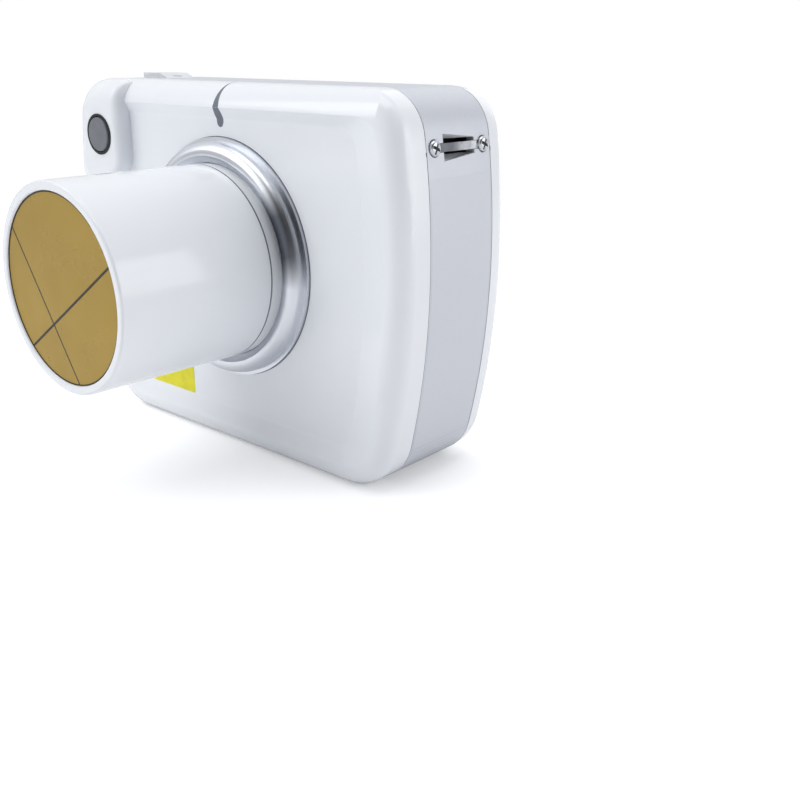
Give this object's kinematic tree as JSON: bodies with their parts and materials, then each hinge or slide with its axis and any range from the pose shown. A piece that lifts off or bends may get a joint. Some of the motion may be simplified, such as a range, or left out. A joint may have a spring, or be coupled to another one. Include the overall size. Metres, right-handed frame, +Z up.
{
  "type": "intraoral x-ray unit",
  "caption": "Hand-held intraoral x-ray unit: bowed box body with a long round cone in a polished collar, a trigger pod, strap pockets, and a rear display with keys.",
  "frame": {"origin": "mouth of the tripod thread, in the middle of the flat base", "axes": "+Z up, the beam leaves along -Y through the cone, +X to the right of someone who looks at the cone"},
  "size_m": [0.1558, 0.1146, 0.1229],
  "materials": {
    "white_shell": "gloss moulding",
    "satin_band": "satin",
    "polished_metal": "polished",
    "gold_disc": "gloss, gold tone",
    "grey_mark": "matt",
    "grey_cap": "satin",
    "black_bezel": "gloss",
    "black_panel": "gloss printed sheet",
    "display_frame": "satin",
    "blue_display": "lit screen",
    "key_rubber": "matt",
    "bright_steel": "polished",
    "soft_cap": "matt",
    "thread_brass": "machined",
    "lead": "dull",
    "bare_aluminium": "bare",
    "tank_paint": "painted",
    "tube_glass": "clear",
    "copper": "copper",
    "plain_steel": "plain",
    "core_iron": "laminated",
    "circuit_board": "solder mask",
    "black_plastic": "matt",
    "cell_sleeve": "sleeved"
  },
  "bodies": {
    "housing": {"battery_cell_1": "cell_sleeve", "battery_cell_2": "cell_sleeve", "battery_cell_3": "cell_sleeve", "battery_cell_4": "cell_sleeve", "battery_tray_left": "black_plastic", "battery_tray_right": "black_plastic", "beam_filter": "bare_aluminium", "buzzer": "black_plastic", "chassis_plate": "bare_aluminium", "chassis_screw_1": "bright_steel", "chassis_screw_2": "bright_steel", "chassis_screw_3": "bright_steel", "chassis_screw_4": "bright_steel", "collar_ring": "polished_metal", "collimator": "lead", "cone_base": "white_shell", "cone_tube": "white_shell", "cone_window": "gold_disc", "dc_inlet": "black_plastic", "display_board": "circuit_board", "front_shell": "white_shell", "inlet_cap": "soft_cap", "key_panel": "black_panel", "key_switch_left": "black_plastic", "key_switch_right": "black_plastic", "lcd_frame": "display_frame", "lcd_module": "blue_display", "main_board": "circuit_board", "middle_band": "satin_band", "rear_shell": "white_shell", "sight_mark": "grey_mark", "strap_bar_left": "bright_steel", "strap_bar_right": "bright_steel", "strap_screw_1": "bright_steel", "strap_screw_2": "bright_steel", "strap_screw_3": "bright_steel", "strap_screw_4": "bright_steel", "tank_cover": "tank_paint", "tank_housing": "tank_paint", "transformer_coil": "copper", "transformer_core": "core_iron", "trigger_bezel": "black_bezel", "trigger_board": "circuit_board", "trigger_switch": "black_plastic", "tripod_insert": "thread_brass", "tube_anode": "copper", "tube_cathode": "plain_steel", "tube_envelope": "tube_glass", "voltage_board": "circuit_board"},
    "trigger": {"trigger_button": "grey_cap"},
    "left_key": {"rear_key_left": "key_rubber"},
    "right_key": {"rear_key_right": "key_rubber"}
  },
  "joints": [
    {"name": "trigger_press", "type": "slide", "parent": "housing", "child": "trigger", "axis": [0, 1, 0], "range_m": [0, 0.0015], "stiffness_N_per_m": 1200},
    {"name": "left_key_press", "type": "slide", "parent": "housing", "child": "left_key", "axis": [0, -1, 0], "range_m": [0, 0.0008], "stiffness_N_per_m": 1800},
    {"name": "right_key_press", "type": "slide", "parent": "housing", "child": "right_key", "axis": [0, -1, 0], "range_m": [0, 0.0008], "stiffness_N_per_m": 1800}
  ]
}
